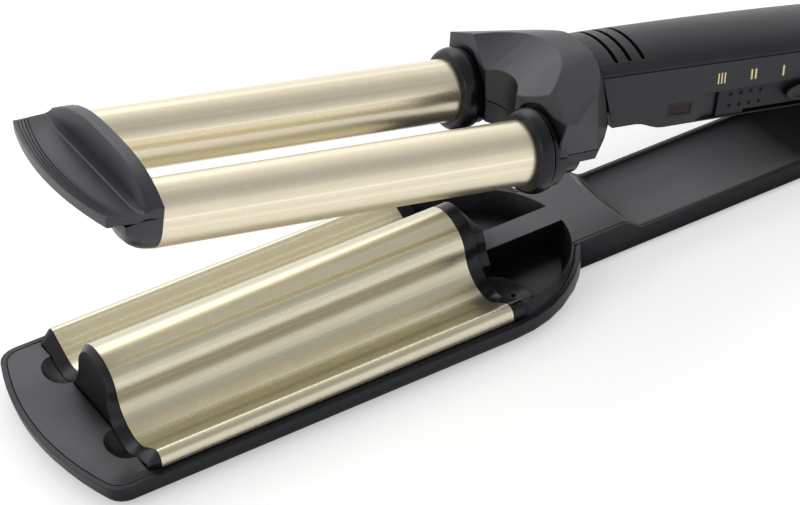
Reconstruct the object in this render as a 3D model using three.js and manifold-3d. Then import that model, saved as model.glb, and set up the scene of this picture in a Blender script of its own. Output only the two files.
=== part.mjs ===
// Hair waver: a clamp with two heated barrels above a heated wave-shaped plate.
// Millimetres, +Z up, +X from the tip to the cord end, -Y is the side with the switch.
// The origin lies on the flat bottom of the lower arm, under the front edge of the wave plate.
import * as THREE from "three";
import { mergeVertices } from "three/addons/utils/BufferGeometryUtils.js";
import { ConvexGeometry } from "three/addons/geometries/ConvexGeometry.js";
import Module from "manifold-3d";

const wasm = await Module();
wasm.setup();

// Barrels, in the frame of the upper arm: x from the collar plane, z from the barrel axes
const barrelRadius = 9.5;
const barrelWall = 1.2;
const barrelSpacing = 42;
const tipSetback = 5;
const barrelRoot = 5;
const heaterTip = 14.4;
const heaterRoot = 14;
const heaterThick = 8;

// Hinge between the arms
const openAngle = THREE.MathUtils.degToRad(12.9);
const rootBehindPlate = 9.4;
const hingeZ = 14;
const handleReach = 157.7;
const axisOverHinge = 4;
const pinRadius = 2.5;
const knuckleRadius = 7.6;
const knuckleInner = 5.4;
const knuckleOuter = 12.6;
const earInner = 13.2;
const earRadius = 8.6;
const earTail = 9.4;
const springBore = 3.1;
const springThick = 1.8;

// Fits
const pressGap = 0.05;
const runningGap = 0.08;
const seatGap = 0.3;
const touchGap = 0.1;
const hairGap = 0.7;

// Tray of the lower arm
const trayHalf = 39.5;
const bowRadius = 105.2;
const bowTip = 23.1;
const trayCorner = 7;
const cornerShrink = 0.6;
const cornerLeast = 1.5;
const wallRound = 8;
const rimHeight = 8.6;
const rimRiseStart = 8;
const rimRiseEnd = 35;
const trayFloor = 2;
const rimWidth = 1.7;
const partingGap = 0.25;

// Cover, deck and rear platform of the lower arm
const deckSlopeWidth = 2.4;
const deckHeight = 9.1;
const deckSkin = 4;
const platformHeight = 11.1;
const platformSlopeWidth = 3.2;
const platformLength = 51.6;
const stepLength = 6.5;
const pocketSetback = 4.2;
const pocketBorder = 6.1;
const pocketFlare = 3.5;
const pocketFloor = 3.4;
const ribHalf = 4.5;
const scoopRadius = 11.8;
const scoopReach = 5.6;
const cradleLength = 10;
const cradleHalf = 8.8;
const cradleGap = 0.8;
const cradleTop = 8.4;
const cradleHole = 0.8;
const cradleHolePlace = 5;

// Grip of the lower arm
const gripHalf = 17.9;
const gripHeight = 7.35;
const gripEdge = 3.2;
const channelDip = 2.8;
const gripWall = 1.3;
const coverUnderside = 3.7;

// Wave plate and what holds it
const plateLength = 114;
const plateSkin = 1.5;
const crestHeight = 27;
const sideCrestHeight = 13.4;
const sideCrestRadius = 2.5;
const flankAngle = THREE.MathUtils.degToRad(28);
const holderLength = 3.7;
const holderGap = 0.2;
const rearHolderLength = 4;
const archHalf = 8.6;
const archTop = 24;
const holderLean = 2.2;
const endRise = 0.8;
const stepThick = 3.4;
const stepSink = 0.9;
const stepHalf = 12;
const stepTop = 22;

// Plate heater, its clamp, its fuse and its lead
const plateHeaterInset = 15;
const plateHeaterHeight = 6;
const plateHeaterTop = 19;
const clampThick = 0.8;
const clampLength = 24;
const clampGap = 1.5;
const clampFoot = 3;
const fuseRadius = 1.5;
const fuseLength = 9;
const fuseGap = 2;
const plateLeadRadius = 0.7;
const plateLeadRamp = 5;
const plateLeadFoot = 1.5;
const plateLeadStraight = 14;
const plateLeadSwing = 30;

// Shoulder block
const shoulderFloor = -4.6;
const shoulderSeam = 2.2;
const notchReach = 9.2;
const notchHalf = 10.8;
const facetStart = 8.7;
const facetLow = 13;
const facetRise = 0.7;
const facetCurve = 0.0106;
const ridgeFront = 8.3;
const ridgeBack = 21.5;
const ridgePower = 2.15;
const collarBossRadius = 11;
const collarBossEnd = 10;
const backX = 31;
const backZ = 16.4;
const backLean = 0.372;
const cavityStart = 14;
const cavityHalf = 13;
const cavityTop = 12;
const shoulderScrewX = 25;
const shoulderScrewY = 16;
const shoulderScrewTop = 9;

// Collars
const collarRadius = 12.6;
const collarFront = 0.5;
const beadLength = 3.4;
const collarBack = 6.8;
const beadTurn = 0.42 * Math.PI;
const grooveLength = 0.6;
const grooveDepth = 1.3;
const ringLength = 1;
const ringDepth = 0.6;
const neckRadius = 8;
const neckLength = 10;
const neckBore = 5;

// Handle of the upper arm
const handleHalf = 14.2;
const tailHalf = 12.6;
const taperStart = 32.7;
const taperEnd = 8.7;
const tailLength = 16.3;
const handleWall = 2;
const crownHeight = 21.4;
const crownPeak = 60;
const crownDrop = 2.1142;
const crownPower = 1.4;
const crownStraight = 35.7;
const seamHeight = 16.35;
const seamSlope = 0.0145;
const tailSlope = 0.045;
const frontBottom = -1.45;
const bellyBottom = -3.95;
const bellyStart = 46.1;
const bellyEnd = 56.1;
const handleEdge = 0.8;
const ventCount = 3;
const ventPitch = 4.7;
const ventFirst = 38;
const ventHalf = 11.2;
const ventWidth = 1.4;
const tongueEnd = 48;
const tongueHalf = 8.5;
const tongueThick = 2.6;
const towerRise = 1.2;
const handlePostTop = 6;
const handleScrewReach = 7;

// Switch, lamp and board
const levelPitch = 12;
const knobTip = 99.7;
const knobLength = 14;
const knobHeight = 5.4;
const knobCentreZ = 2.05;
const knobProud = 2.2;
const knobDish = 0.7;
const knobBorder = 0.8;
const recessStart = 67.6;
const recessRamp = 4.5;
const recessDepth = 1.2;
const trackFront = 75.4;
const trackTop = 5.45;
const trackBottom = -3.15;
const trackThick = 0.9;
const footThick = 0.8;
const footLength = 4;
const footZ = -2.55;
const footReach = 5.4;
const dimpleColumns = 4;
const dimpleRows = 2;
const dimpleStart = 79.9;
const dimplePitch = 3.7;
const dimpleRise = 3.9;
const dimpleLow = -0.05;
const dimpleRadius = 0.75;
const dimpleSink = 0.3;
const lensStart = 57.1;
const lensLength = 8.4;
const lensBottom = -0.35;
const lensHeight = 3.8;
const lensThick = 1.6;
const lampRadius = 1.5;
const boardStart = 57;
const boardTail = 26.7;
const boardHeight = 13;
const boardThick = 1.6;
const boardOffset = 5;
const switchLength = 30;
const switchHeight = 6;

// Tip cap
const capHalf = 31.4;
const capArch = 14.3;
const capEndZ = 7.4;
const capArchPower = 3;
const ridgeWidth = 4.6;
const ridgeRound = 0.7;
const foldReach = 6.9;
const dishZ = 5;
const lipHalf = 29.7;
const lipReach = 20.9;
const lipSweep = 4.3;
const lipTopZ = 6.1;
const lipThick = 3.1;
const lipLean = 0.6;
const lipWidth = 2.6;
const lipBand = 6.5;
const lipGroove = 0.25;
const lipGrooveCount = 4;
const lipGrooveFirst = 1.5;
const lipGroovePitch = 1.07;
const slabUnderside = 3.4;
const noseReach = 10;
const noseHalf = 9.8;
const noseDepth = 8.7;
const noseTaper = 0.3;
const noseGap = 3;
const spigotLength = 9;

// Cord end
const glandZ = 5.6;
const glandRadius = 5;
const glandLength = 20;
const glandTipRadius = 4;
const glandBore = 3.1;
const flangeRadius = 6.2;
const flangeThick = 1.6;
const endCapThick = 2.4;
const endSpigot = 3.2;
const retainerThick = 1.6;
const leadRadius = 1.1;
const leadBend = 2.8;
const leadRise = 0.8;
const leadAside = 6;

// Screws
const screwRadius = 1.3;
const screwHead = 2.5;
const screwHeadThick = 1.6;
const screwSink = 0.6;
const bossRadius = 3.2;

// Arm's screws, from the plate's front, the plate's rear and the hinge: x, y and skin above the tip
const armScrewPlaces = [
  [-13, 0, 1.2],
  [44, 9, 2.5],
  [-31.1, 0, 0.6],
];

// Places of the handle's screws
const handleScrews = [
  [42, 0],
  [68, 8],
  [handleReach - 21.7, 0],
];

// Corners of one side of the shoulder: x, distance from the middle, z
const shoulderFront = [
  [5.7, 9, 11.5],
  [7.7, 32.5, 13],
  [7.8, 31, 4.2],
  [6.8, 30, 2.2],
  [12, 31.5, 12.5],
  [12.4, 29.5, -1],
  [7, 25, -4.6],
];
const shoulderRear = [
  [22, 30, 2.2],
  [21.5, 29.5, -1],
  [29, 22.5, 1],
  [28, 18, -4.6],
  [31, 14.5, 16.5],
  [33.1, 14.5, 9.6],
  [35.6, 14.5, 0.65],
  [36.1, 13.7, -1.25],
];

// Rear edge of the shoulder's crown on one side: x, distance from the middle, z
const crownEdge = [
  [31, 0, 22],
  [31, 7, 21.4],
  [30, 13.3, 19.3],
  [25.4, 21, 16.4],
  [19.9, 26, 14],
];

// Worked out from the sizes above
const barrelY = barrelSpacing / 2;
const barrelBore = barrelRadius - barrelWall;
const closedAxisZ = hingeZ + axisOverHinge;
const rootPlace = plateLength + rootBehindPlate;
const hingeX = rootPlace + handleReach;
const barrelTip = rootPlace - tipSetback;
const heaterLength = barrelTip - heaterRoot - heaterTip;
const plateHeaterLength = plateLength - 2 * plateHeaterInset;
const platformEnd = plateLength + platformLength;
const pocketCentre = plateLength + pocketSetback;
const pocketRadius = trayHalf - pocketBorder;
const handleEnd = handleReach + tailLength;
const crownEnd = handleReach - crownStraight;
const boardLength = handleReach - boardStart - boardTail;
const taperFrom = handleReach - taperStart;
const taperTo = handleReach - taperEnd;
const foldX = barrelTip + foldReach;
const lipTipX = barrelTip + lipReach;
const cradleRadius = collarRadius + cradleGap;
const troughRadius = barrelRadius + hairGap;
const crestHalf = barrelY - troughRadius;
const bowCentre = bowRadius - bowTip;
const gripRear = hingeX + earTail;
const holderRear = plateLength + holderGap + rearHolderLength;
const openingFront = -holderLength - holderGap;
const flankY = barrelY + troughRadius * Math.sin(flankAngle);
const flankZ = closedAxisZ - troughRadius * Math.cos(flankAngle);
const sideCrestZ = sideCrestHeight - sideCrestRadius;
const flankRise = sideCrestZ + sideCrestRadius * Math.cos(flankAngle) - flankZ;
const flankRun = flankRise / Math.tan(flankAngle);
const sideCrestY = flankY + flankRun + sideCrestRadius * Math.sin(flankAngle);
const plateHalf = sideCrestY + sideCrestRadius;
const openingHalf = plateHalf - plateSkin - 2 * seatGap;
const coverInset = rimWidth + partingGap;
const deckUnderside = deckHeight - deckSkin;
const wellStart = hingeX - earRadius - 2;
const knobBack = knobTip + knobLength;
const trackBack = knobBack + levelPitch + 2 * seatGap;
const panelY = -handleHalf;
const lipTaper = 1 - lipHalf / capHalf;
const trackY = panelY + recessDepth - trackThick;
const handleFloor = bellyBottom + handleWall;
const tall = 80;

// Materials
const blackPlastic = { color: 0x1c1d20, roughness: 0.55, metalness: 0 };
const softBlack = { color: 0x232427, roughness: 0.42, metalness: 0 };
const gold = { color: 0xc9b78c, roughness: 0.32, metalness: 0.8 };
const steel = { color: 0xb4b7ba, roughness: 0.3, metalness: 1 };
const ceramic = { color: 0xd8d2c4, roughness: 0.7, metalness: 0 };
const redLens = { color: 0x5a0f14, roughness: 0.15, metalness: 0 };
const boardGreen = { color: 0x1f5a37, roughness: 0.6, metalness: 0 };
const wire = { color: 0xa82a22, roughness: 0.5, metalness: 0 };

// Turn a geometry into a solid that can be cut and joined
function solid(geometry) {
  const plain = geometry.index ? geometry.toNonIndexed() : geometry.clone();
  plain.deleteAttribute("normal");
  plain.deleteAttribute("uv");
  const merged = mergeVertices(plain, 1e-4);
  return new wasm.Manifold(
    new wasm.Mesh({
      numProp: 3,
      vertProperties: merged.attributes.position.array,
      triVerts: new Uint32Array(merged.index.array),
    }),
  );
}

// Turn a solid back into a geometry
function geometryOf(body) {
  const mesh = body.getMesh();
  const geometry = new THREE.BufferGeometry();
  geometry.setAttribute("position", new THREE.BufferAttribute(mesh.vertProperties, 3));
  geometry.setIndex(new THREE.BufferAttribute(mesh.triVerts, 1));
  return geometry;
}

// Box between two corners
function box(x0, x1, y0, y1, z0, z1) {
  const geometry = new THREE.BoxGeometry(x1 - x0, y1 - y0, z1 - z0);
  geometry.translate((x0 + x1) / 2, (y0 + y1) / 2, (z0 + z1) / 2);
  return solid(geometry);
}

// Turn a shape made along Z so that it lies along another axis
function lay(geometry, axis) {
  const x = new THREE.Vector3(1, 0, 0);
  const y = new THREE.Vector3(0, 1, 0);
  const z = new THREE.Vector3(0, 0, 1);
  const basis = new THREE.Matrix4();
  if (axis === "x") basis.makeBasis(y, z, x);
  if (axis === "y") basis.makeBasis(z, x, y);
  return geometry.applyMatrix4(basis);
}

// Round bar along an axis from a to b, centred on a point of that axis
function bar(axis, radius, a, b, centre, sides = 24) {
  const geometry = new THREE.CylinderGeometry(radius, radius, b - a, sides);
  geometry.rotateX(Math.PI / 2);
  geometry.translate(0, 0, (a + b) / 2);
  lay(geometry, axis);
  const across = { x: [0, 1, 1], y: [1, 0, 1], z: [1, 1, 0] }[axis];
  return solid(geometry.translate(...centre.map((value, i) => value * across[i])));
}

// Body turned about a line along X, from a closed profile of [x, radius] points
function turned(profile, y, z, sides = 32) {
  const points = profile.map(([x, radius]) => new THREE.Vector2(radius, x));
  const geometry = new THREE.LatheGeometry(points.concat(points[0]), sides);
  geometry.rotateX(Math.PI / 2);
  lay(geometry, "x");
  return solid(geometry.translate(0, y, z));
}

// Prism of an outline: [y, z] pairs along x, [x, z] pairs along y or [x, y] pairs along z
function prism(points, axis, from, to) {
  const corners = points.map(([u, v]) =>
    axis === "y" ? new THREE.Vector2(v, u) : new THREE.Vector2(u, v),
  );
  const geometry = new THREE.ExtrudeGeometry(new THREE.Shape(corners), {
    depth: to - from,
    bevelEnabled: false,
  });
  geometry.translate(0, 0, from);
  return solid(lay(geometry, axis));
}

// Skin over rings of points, closed at both ends
function loft(rings, flat) {
  const count = rings[0].length;
  const positions = rings.flat().flatMap((p) => [p.x, p.y, p.z]);
  const index = [];
  for (let i = 0; i + 1 < rings.length; i++)
    for (let j = 0; j < count; j++) {
      const a = i * count + j;
      const b = i * count + ((j + 1) % count);
      index.push(a, b, b + count, a, b + count, a + count);
    }
  const last = (rings.length - 1) * count;
  const capOf = (ring) => THREE.ShapeUtils.triangulateShape(ring.map(flat), []);
  capOf(rings[0]).forEach(([a, b, c]) => index.push(c, b, a));
  capOf(rings.at(-1)).forEach(([a, b, c]) => index.push(last + a, last + b, last + c));
  const geometry = new THREE.BufferGeometry();
  geometry.setAttribute("position", new THREE.Float32BufferAttribute(positions, 3));
  geometry.setIndex(index);
  return solid(geometry);
}

const seenFromTop = (p) => new THREE.Vector2(p.x, p.y);
const seenFromRear = (p) => new THREE.Vector2(p.y, p.z);
const seenFromSide = (p) => new THREE.Vector2(p.z, p.x);

// Ring of points across X from [y, z] pairs
const acrossX = (x, pairs) => pairs.map(([y, z]) => new THREE.Vector3(x, y, z));

// Tube along a smooth path
function tube(points, radius, steps, sides = 6) {
  const path = new THREE.CatmullRomCurve3(points.map((p) => new THREE.Vector3(...p)));
  const section = new THREE.Shape();
  section.absarc(0, 0, radius, 0, 2 * Math.PI);
  const outline = new THREE.Shape(section.getPoints(sides / 2));
  return solid(new THREE.ExtrudeGeometry(outline, { steps, extrudePath: path }));
}

// Points of an arc, from one angle to another
function arc(cx, cy, radius, from, to, steps, radiusY = radius) {
  return spread(from, to, steps).map((t) => [
    cx + radius * Math.cos(t),
    cy + radiusY * Math.sin(t),
  ]);
}

// Evenly spaced values, both ends included
function spread(from, to, steps) {
  return Array.from({ length: steps + 1 }, (_, i) => from + ((to - from) * i) / steps);
}

// Smooth step from 0 to 1 between two values
const ease = THREE.MathUtils.smoothstep;

// Outline mirrored in its first coordinate, in the opposite order
const mirror = (points) =>
  points
    .slice()
    .reverse()
    .map(([u, v]) => [-u, v]);

// The lower arm stands still and the upper arm turns about the hinge
const root = new THREE.Group();
const upper = new THREE.Group();
upper.position.set(hingeX, 0, hingeZ);
upper.rotation.y = openAngle;
root.add(upper);
const barrelFrame = new THREE.Group();
barrelFrame.position.set(-handleReach, 0, axisOverHinge);
upper.add(barrelFrame);

// Add a named piece to one of the groups
function add(name, body, look, group) {
  const mesh = new THREE.Mesh(geometryOf(body), new THREE.MeshStandardMaterial(look));
  mesh.name = name;
  group.add(mesh);
}

// Screw from below: head at the bottom and a plain shank
function screw(x, y, bottom, top) {
  const head = bar("z", screwHead, bottom, bottom + screwHeadThick, [x, y, 0], 20);
  return head.add(bar("z", screwRadius, bottom, top, [x, y, 0], 16));
}

// Hole and head recess for a screw that enters a face from below
function screwHole(x, y, face, top) {
  const headTop = face + screwSink + screwHeadThick;
  const shank = bar("z", screwRadius + seatGap, face - 1, top, [x, y, 0], 16);
  return shank.add(bar("z", screwHead + seatGap, face - tall, headTop, [x, y, 0], 20));
}

// Hole that a screw's thread bites into
const threadHole = (x, y, top) => bar("z", screwRadius + pressGap, -tall, top, [x, y, 0], 16);

// Tray outline, set in from the rim by a distance
function trayOutline(inset) {
  const half = trayHalf - inset;
  const bow = bowRadius - inset;
  const corner = Math.max(trayCorner - cornerShrink * inset, cornerLeast);
  const cornerY = half - corner;
  const cornerX = bowCentre - Math.sqrt((bow - corner) ** 2 - cornerY ** 2);
  const tangent = Math.atan2(cornerY, bowCentre - cornerX);
  const front = arc(bowCentre, 0, bow, Math.PI, Math.PI + tangent, 6);
  const corners = arc(cornerX, -cornerY, corner, Math.PI + tangent, 1.5 * Math.PI, 4);
  const rear = arc(plateLength, 0, half, -Math.PI / 2, 0, 9);
  const near = front.concat(corners.slice(1), rear);
  const far = near.slice(1, -1).reverse();
  return near.concat(far.map(([x, y]) => [x, -y]));
}

// How far the rounded wall lies inside the rim at a height
function wallInset(z) {
  const share = Math.min(z / wallRound, 1);
  return wallRound * (1 - Math.sqrt(1 - (1 - share) ** 2));
}

// Height of the rim, which climbs to the platform near the neck
function rimZ(x) {
  const rise = ease(x - plateLength, rimRiseStart, rimRiseEnd);
  return rimHeight + (platformHeight - rimHeight) * rise;
}

const trayRing = (z, inset) => trayOutline(inset).map(([x, y]) => new THREE.Vector3(x, y, z));
const rimRing = (inset) => trayOutline(inset).map(([x, y]) => new THREE.Vector3(x, y, rimZ(x)));

// Rings of the rounded wall above a height, set in by a distance
function wallRings(base, inset) {
  const heights = [0.04, 0.15, 0.35, 0.65, 1].map((share) => share * wallRound);
  const all = [base, ...heights.filter((z) => z > base)];
  return all.map((z) => trayRing(z, wallInset(z) + inset));
}

// Cross-section of the lower grip: flat bottom with rounded edges
function gripRing(x) {
  const low = arc(gripHalf - gripEdge, gripEdge, gripEdge, -Math.PI / 2, 0, 3);
  const right = low.concat([[gripHalf, gripTop(x)]]);
  return acrossX(x, right.concat(mirror(right)));
}

// Height of the grip's rim along the arm
function gripTop(x) {
  const fall = ease(x, platformEnd, platformEnd + stepLength);
  return platformHeight + (gripHeight - platformHeight) * fall;
}

// Stations along the step from the platform to the grip
const stepStations = spread(platformEnd, platformEnd + stepLength, 4);

// Screws of the lower arm: place, top of the post and highest point
const armScrews = [
  [deckUnderside, deckHeight],
  [coverUnderside, platformHeight],
  [coverUnderside, gripHeight - channelDip],
].map(([underside, face], i) => {
  const [x, y, skin] = armScrewPlaces[i];
  return [[0, plateLength, hingeX][i] + x, y, underside - seatGap, face - skin];
});

function lowerShell() {
  let body = loft([...wallRings(0, 0), rimRing(0)], seenFromTop);
  const stations = [plateLength, ...stepStations, gripRear];
  body = body.add(loft(stations.map(gripRing), seenFromRear));
  const hollow = [...wallRings(trayFloor, rimWidth), trayRing(platformHeight + 1, rimWidth)];
  body = body.subtract(loft(hollow, seenFromTop));
  const half = gripHalf - gripWall;
  body = body.subtract(box(plateLength, wellStart, -half, half, trayFloor, tall));
  body = body.subtract(box(wellStart - 1, gripRear + 1, -earInner, earInner, trayFloor, tall));
  for (const [from, to] of [[earInner, gripHalf], [-gripHalf, -earInner]]) {
    const ear = bar("y", earRadius, from, to, [hingeX, 0, hingeZ], 28);
    const post = box(hingeX - earRadius, hingeX + earRadius, from, to, gripEdge, hingeZ);
    body = body.add(ear).add(post);
  }
  body = body.subtract(bar("y", pinRadius + pressGap, -tall, tall, [hingeX, 0, hingeZ]));
  for (const [x, y, top] of armScrews) {
    const post = bar("z", bossRadius, trayFloor - 0.5, top, [x, y, 0]);
    body = body.add(post).subtract(screwHole(x, y, 0, tall));
  }
  return body;
}

// Hollow in front of a trough, where the cap's nose comes down
function scoop(side) {
  const spreadAtDeck = Math.sqrt(1 - ((closedAxisZ - deckHeight) / scoopRadius) ** 2);
  const geometry = new THREE.SphereGeometry(1, 24, 16);
  geometry.scale(scoopReach / spreadAtDeck, scoopRadius, scoopRadius);
  return solid(geometry.translate(openingFront, side * barrelY, closedAxisZ));
}

// Block of the rear platform with its sloping border
function platformBlock() {
  const rings = [
    ...wallRings(trayFloor + seatGap, coverInset),
    rimRing(coverInset),
    trayRing(platformHeight, coverInset + platformSlopeWidth),
  ];
  const behind = box(holderRear + holderGap, tall * 4, -tall, tall, 0, tall);
  return loft(rings, seenFromTop).intersect(behind);
}

// Neck and channel of the grip, hollowed along its length
function channelBlock() {
  const half = gripHalf - gripWall - partingGap;
  const stations = [plateLength + trayCorner, ...stepStations, wellStart - seatGap];
  const rings = stations.map((x) => {
    const top = gripTop(x);
    const dip = (channelDip * (platformHeight - top)) / (platformHeight - gripHeight);
    const floor = arc(0, top, half, 0, Math.PI, 10, -dip);
    return acrossX(x, [[-half, coverUnderside], [half, coverUnderside], ...floor]);
  });
  return loft(rings, seenFromRear);
}

// Two pockets behind the plate, with sloping walls and a rib between them
function pocketSpace() {
  const rings = [
    [pocketRadius - pocketFlare, pocketFloor],
    [pocketRadius, platformHeight],
    [pocketRadius, tall],
  ].map(([radius, z]) => {
    const circle = arc(pocketCentre, 0, radius, 0, 2 * Math.PI, 64).slice(1);
    return circle.map(([x, y]) => new THREE.Vector3(x, y, z));
  });
  const rib = box(0, tall * 4, -ribHalf, ribHalf, 0, tall);
  return loft(rings, seenFromTop).subtract(rib).subtract(box(0, holderRear, -tall, tall, 0, tall));
}

// Rounded cradle behind a trough, below the collar, with a small hole
function cradle(side) {
  const y = side * barrelY;
  const front = holderRear + holderGap;
  const outline = arc(front, y, cradleLength, -Math.PI / 2, Math.PI / 2, 16, cradleHalf);
  const block = prism(outline, "z", pocketFloor - 0.5, cradleTop);
  const hole = bar("z", cradleHole, pocketFloor, tall, [front + cradleHolePlace, y, 0], 16);
  return block.subtract(bar("x", cradleRadius, 0, tall * 4, [0, y, closedAxisZ], 64)).subtract(hole);
}

function armCover() {
  const deck = [
    ...wallRings(deckUnderside, coverInset),
    rimRing(coverInset),
    trayRing(deckHeight, coverInset + deckSlopeWidth),
  ];
  let body = loft(deck, seenFromTop).add(platformBlock()).add(channelBlock());
  for (const side of [-1, 1]) body = body.subtract(scoop(side));
  const openingRear = holderRear + holderGap;
  body = body.subtract(box(openingFront, openingRear, -openingHalf, openingHalf, 0, tall));
  body = body.subtract(pocketSpace()).add(cradle(-1)).add(cradle(1));
  const leadHalf = plateLeadRadius + 2 * seatGap;
  const blockEnd = plateLength + trayHalf;
  body = body.subtract(box(plateLength, blockEnd, -leadHalf, leadHalf, 0, coverUnderside));
  for (const [x, y, postTop, top] of armScrews) {
    body = body.subtract(threadHole(x, y, top + seatGap));
    body = body.subtract(bar("z", bossRadius + seatGap, 0, postTop + seatGap, [x, y, 0]));
  }
  return body;
}

// Upper face of the wave plate, from the near edge to the middle, sunk by a depth
function waveHalf(sunk) {
  const crestRise = crestHeight - closedAxisZ - sunk;
  const crest = arc(0, closedAxisZ, crestHalf - sunk, Math.PI / 2, 0, 8, crestRise);
  const low = 1.5 * Math.PI + flankAngle;
  const trough = arc(barrelY, closedAxisZ, troughRadius + sunk, Math.PI, low, 12);
  const turn = Math.PI / 2 + flankAngle;
  const edge = arc(sideCrestY, sideCrestZ, sideCrestRadius - sunk, turn, 0, 6);
  const foot = [[plateHalf - sunk, deckHeight]];
  return mirror(crest.concat(trough.slice(1), edge, foot));
}

// Upper face of the wave plate from edge to edge
function waveLine(sunk) {
  const near = waveHalf(sunk);
  return near.concat(mirror(near).slice(1));
}

function wavePlate() {
  return prism(waveLine(plateSkin).concat(waveLine(0).reverse()), "x", 0, plateLength);
}

// Outline of a strap that carries one end of the plate
function holderOutline(sunk) {
  const foot = openingHalf - 2 * seatGap;
  const base = [[-foot, deckHeight], [-foot, trayFloor], [foot, trayFloor], [foot, deckHeight]];
  return waveLine(sunk).reverse().concat(base);
}

// Front strap: its face leans back, and its troughs and ends fall towards the deck
function frontHolder() {
  const rise = crestHeight - deckHeight;
  const face = holderOutline(scoopRadius - troughRadius).map(([y, z]) => {
    const above = Math.max(z - deckHeight, 0);
    const height = Math.abs(y) > flankY ? Math.min(z, deckHeight + endRise) : z;
    return new THREE.Vector3(-holderLength + (holderLean * above) / rise, y, height);
  });
  return loft([face, acrossX(-holderGap, holderOutline(0))], seenFromRear);
}

// Rear strap, with an arch below its middle crest and a lower step behind it
function rearHolder() {
  const from = plateLength + holderGap;
  const end = holderRear + stepThick;
  const arch = arc(0, archTop - archHalf, archHalf, 0, Math.PI, 12);
  const opening = prism([[-archHalf, 0], [archHalf, 0], ...arch], "x", from - 1, holderRear);
  const reach = box(from, end, -stepHalf, stepHalf, pocketFloor + seatGap, stepTop);
  const overRib = platformHeight + seatGap;
  const besideRib = ribHalf + seatGap;
  const rib = box(holderRear, tall * 2, -besideRib, besideRib, 0, overRib);
  const step = prism(holderOutline(stepSink), "x", from, end).intersect(reach).subtract(rib);
  return prism(holderOutline(0), "x", from, holderRear).add(step).subtract(opening);
}

function plateHeater() {
  const half = crestHalf - plateSkin - seatGap;
  const start = (plateLength - plateHeaterLength) / 2;
  const low = plateHeaterTop - plateHeaterHeight;
  return box(start, start + plateHeaterLength, -half, half, low, plateHeaterTop);
}

// Bent strip that stands on the shell and presses the heater up
function heaterClamp() {
  const half = crestHalf - plateSkin - clampGap;
  const foot = half + clampFoot;
  const inside = half - clampThick;
  const low = trayFloor + seatGap;
  const top = plateHeaterTop - plateHeaterHeight - seatGap;
  const right = [
    [inside, top - clampThick],
    [inside, low],
    [foot, low],
    [foot, low + clampThick],
    [half, low + clampThick],
    [half, top],
  ];
  const middle = plateLength / 2;
  const outline = right.concat(mirror(right));
  return prism(outline, "x", middle - clampLength / 2, middle + clampLength / 2);
}

// Fuse that lies under the heater beside the clamp
function thermalFuse() {
  const z = plateHeaterTop - plateHeaterHeight - seatGap - fuseRadius;
  const end = plateLength / 2 - clampLength / 2 - fuseGap;
  return bar("x", fuseRadius, end - fuseLength, end, [0, 0, z], 16);
}

function hingePin() {
  return bar("y", pinRadius, -gripHalf + seatGap, gripHalf - seatGap, [hingeX, 0, hingeZ]);
}

// Sleeve of the wound spring round the pin, with its leg down to the shell
function torsionSpring() {
  const outer = springBore + springThick;
  const half = knuckleInner - seatGap;
  const ring = bar("y", outer, -half, half, [hingeX, 0, hingeZ]);
  const low = trayFloor + seatGap;
  const leg = box(
    hingeX - outer, hingeX - springBore, half - springThick, half, low, hingeZ,
  );
  const bore = bar("y", springBore, -tall, tall, [hingeX, 0, hingeZ]);
  return ring.add(leg).subtract(bore);
}

// Lead from the plate heater to the hinge, along the floor of the lower arm
function plateLead() {
  const low = trayFloor + plateLeadRadius + touchGap;
  const start = (plateLength + plateHeaterLength) / 2 + 2 * seatGap;
  const points = [
    [start, 0, plateHeaterTop - plateHeaterHeight / 2],
    [start + plateLeadRamp, 0, plateHeaterTop - plateHeaterHeight],
    [plateLength - holderGap, 0, low + plateLeadFoot],
    [plateLength + plateLeadRamp, 0, low + touchGap],
    [plateLength + 2 * plateLeadRamp, 0, low],
    [platformEnd - plateLeadStraight, 0, low],
    [platformEnd + stepLength, leadAside, low],
    [wellStart - plateLeadSwing, leadAside, low],
    [wellStart - seatGap, leadAside, low],
  ];
  return tube(points, plateLeadRadius, 30);
}

// Barrel tube between the cap and the collar
function barrel(side) {
  const centre = [0, side * barrelY, 0];
  const body = bar("x", barrelRadius, -barrelTip + seatGap, barrelRoot - seatGap, centre, 48);
  return body.subtract(bar("x", barrelBore, -tall * 2, tall, centre, 48));
}

// Flat heater block that lies in a barrel
function barrelHeater(side) {
  const centre = [0, side * barrelY, 0];
  const start = -heaterRoot - heaterLength;
  const round = bar("x", barrelBore - seatGap, start, -heaterRoot, centre, 48);
  return round.intersect(box(-tall * 2, tall, -tall, tall, -heaterThick / 2, heaterThick / 2));
}

// Collar: round ring, groove, thin ring and the neck that enters the shoulder
function collar(side) {
  const bore = barrelRadius + pressGap;
  const start = barrelRadius + 1;
  const middle = collarFront + beadLength;
  const bead = arc(middle, start, beadLength, Math.PI, beadTurn, 5, collarRadius - start);
  const neckEnd = collarBack + neckLength;
  const grooveRadius = collarRadius - grooveDepth;
  const ringRadius = collarRadius - ringDepth;
  const ringBack = collarBack - seatGap;
  const ringFront = ringBack - ringLength;
  const profile = [
    [collarFront, bore],
    ...bead,
    [ringFront - grooveLength, grooveRadius],
    [ringFront, grooveRadius],
    [ringFront, ringRadius],
    [ringBack, ringRadius],
    [ringBack, grooveRadius],
    [collarBack, grooveRadius],
    [collarBack, neckRadius],
    [neckEnd, neckRadius],
    [neckEnd, neckBore],
    [barrelRoot, neckBore],
    [barrelRoot, bore],
  ];
  return turned(profile, side * barrelY, 0);
}

// Height of the concave facet on top of the shoulder
const facetZ = (x, y) => facetLow + facetRise * (x - facetStart) + facetCurve * y * y;

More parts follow.
